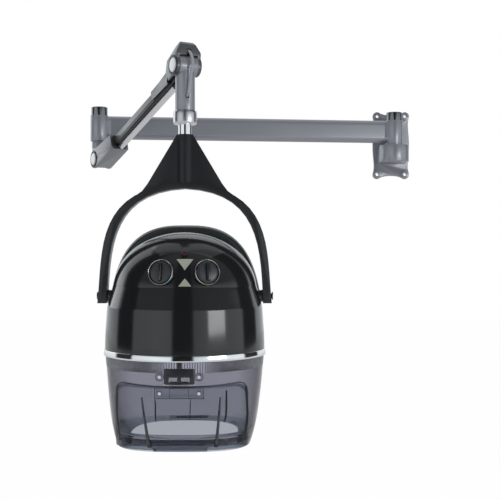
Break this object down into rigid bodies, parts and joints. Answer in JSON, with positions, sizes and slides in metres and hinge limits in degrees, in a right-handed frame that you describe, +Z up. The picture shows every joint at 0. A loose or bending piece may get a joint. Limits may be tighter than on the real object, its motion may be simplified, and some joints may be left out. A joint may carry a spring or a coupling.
{
  "type": "wall-mounted hood dryer",
  "caption": "Wall-mounted hair dryer hood with a clear bowl and visor, hung from a yoke on a swinging, levelled arm.",
  "frame": {"origin": "centre of the wall plate's back face, which lies against the wall, midway between the wall bolts", "axes": "+X to the right along the wall as seen from the room, +Y into the wall, +Z up"},
  "size_m": [0.8511, 0.785, 0.8428],
  "materials": {
    "grey_paint": "metallic grey powder coat, satin",
    "dark_chrome": "dark chrome plating, polished",
    "bright_chrome": "bright chrome plating",
    "satin_tube": "satin silver",
    "bearing_plastic": "black acetal, satin",
    "black_rod": "black oxide, satin",
    "white_plastic": "white moulded plastic",
    "yoke_black": "black enamel on cast metal, satin",
    "shell_black": "black moulded plastic, high gloss",
    "smoked_clear": "smoked clear moulded plastic, polished, fluted round the top",
    "clear_plastic": "clear moulded plastic",
    "hinge_black": "dark moulded plastic",
    "sheet_metal": "pressed sheet, satin",
    "mica": "mica board",
    "heating_wire": "resistance wire",
    "control_plastic": "moulded housing",
    "knob_black": "black moulded plastic",
    "fan_plastic": "moulded plastic",
    "lamp_red": "red lens",
    "lead_grey": "grey sheathed cable"
  },
  "bodies": {
    "wall_bracket": {"wall_plate": "grey_paint", "wall_spindle": "bright_chrome"},
    "main_arm": {"arm_tube": "grey_paint", "wall_barrel": "grey_paint", "elbow_barrel": "grey_paint", "arm_caps": "dark_chrome", "arm_bushes": "bearing_plastic"},
    "elbow_knuckle": {"knuckle": "grey_paint", "elbow_spindle": "bright_chrome", "level_pin_lower": "bright_chrome"},
    "lift_arm": {"base_casting": "grey_paint", "lift_rail": "grey_paint", "head_casting": "grey_paint", "lift_pins": "bright_chrome", "pivot_caps": "white_plastic", "pivot_rings": "bearing_plastic", "arm_seal": "bearing_plastic", "bright_tube": "satin_tube", "tube_plug": "bearing_plastic", "balance_strut": "black_rod"},
    "level_link": {"level_rod": "black_rod"},
    "head_post": {"head_post": "grey_paint", "post_collar": "bright_chrome", "post_bush": "bearing_plastic", "power_lead": "lead_grey", "level_pin_upper": "bright_chrome"},
    "yoke": {"yoke_stem": "bright_chrome", "yoke": "yoke_black", "tilt_bolts": "dark_chrome"},
    "hood": {"rear_shell": "shell_black", "front_shell": "shell_black", "trim_ring": "bright_chrome", "bowl": "smoked_clear", "inner_dome": "sheet_metal", "heater_frame": "mica", "heater_coil": "heating_wire", "fan_deck": "sheet_metal", "fan_motor": "sheet_metal", "timer": "control_plastic", "heat_switch": "control_plastic", "knob_bezels": "bright_chrome", "indicator_lens": "lamp_red", "thermal_cutout": "white_plastic", "terminal_block": "white_plastic", "hinge_leaf": "hinge_black", "hinge_pin": "bright_chrome", "hinge_screws": "bright_chrome"},
    "visor": {"visor": "smoked_clear", "visor_leaf": "clear_plastic", "visor_screws": "bright_chrome"},
    "timer_knob": {"timer_knob": "knob_black"},
    "heat_knob": {"heat_knob": "knob_black"},
    "fan": {"fan_wheel": "fan_plastic"}
  },
  "joints": [
    {"name": "arm_swing", "type": "hinge", "parent": "wall_bracket", "child": "main_arm", "pos_m": [0, -0.07, 0], "axis": [0, 0, 1], "range_deg": [-4, 166]},
    {"name": "elbow_swing", "type": "hinge", "parent": "main_arm", "child": "elbow_knuckle", "pos_m": [-0.77816, -0.16555, -0.006], "axis": [0, 0, 1], "range_deg": [-112, 30]},
    {"name": "lift", "type": "hinge", "parent": "elbow_knuckle", "child": "lift_arm", "pos_m": [-0.76927, -0.1812, -0.0545], "axis": [-0.8695, -0.4939, 0], "range_deg": [-40, 20]},
    {"name": "link_swing", "type": "hinge", "parent": "elbow_knuckle", "child": "level_link", "pos_m": [-0.77448, -0.18416, -0.0665], "axis": [-0.8695, -0.4939, 0], "range_deg": [-40, 20]},
    {"name": "head_level", "type": "hinge", "parent": "lift_arm", "child": "head_post", "pos_m": [-0.52626, -0.60897, 0.1044], "axis": [-0.8695, -0.4939, 0], "range_deg": [-20, 40]},
    {"name": "yoke_swivel", "type": "hinge", "parent": "head_post", "child": "yoke", "pos_m": [-0.52626, -0.60897, -0.0421], "axis": [0, 0, 1], "range_deg": [-160, 160]},
    {"name": "hood_tilt", "type": "hinge", "parent": "yoke", "child": "hood", "pos_m": [-0.52626, -0.60897, -0.3851], "axis": [-1, 0, 0], "range_deg": [-20, 50]},
    {"name": "visor_flip", "type": "hinge", "parent": "hood", "child": "visor", "pos_m": [-0.52626, -0.77997, -0.5498], "axis": [-1, 0, 0], "range_deg": [0, 85]},
    {"name": "timer_turn", "type": "hinge", "parent": "hood", "child": "timer_knob", "pos_m": [-0.56131, -0.74451, -0.3341], "axis": [-0.2466, -0.9534, 0.1736], "range_deg": [-300, 0]},
    {"name": "heat_turn", "type": "hinge", "parent": "hood", "child": "heat_knob", "pos_m": [-0.47723, -0.7401, -0.3341], "axis": [0.3449, -0.9224, 0.1736], "range_deg": [-135, 135]},
    {"name": "fan_spin", "type": "hinge", "parent": "hood", "child": "fan", "pos_m": [-0.52626, -0.60897, -0.3251], "axis": [0, 0, 1], "continuous": true}
  ],
  "couplings": [
    {"joint": "link_swing", "follows": "lift", "ratio": 1},
    {"joint": "head_level", "follows": "lift", "ratio": -1}
  ]
}
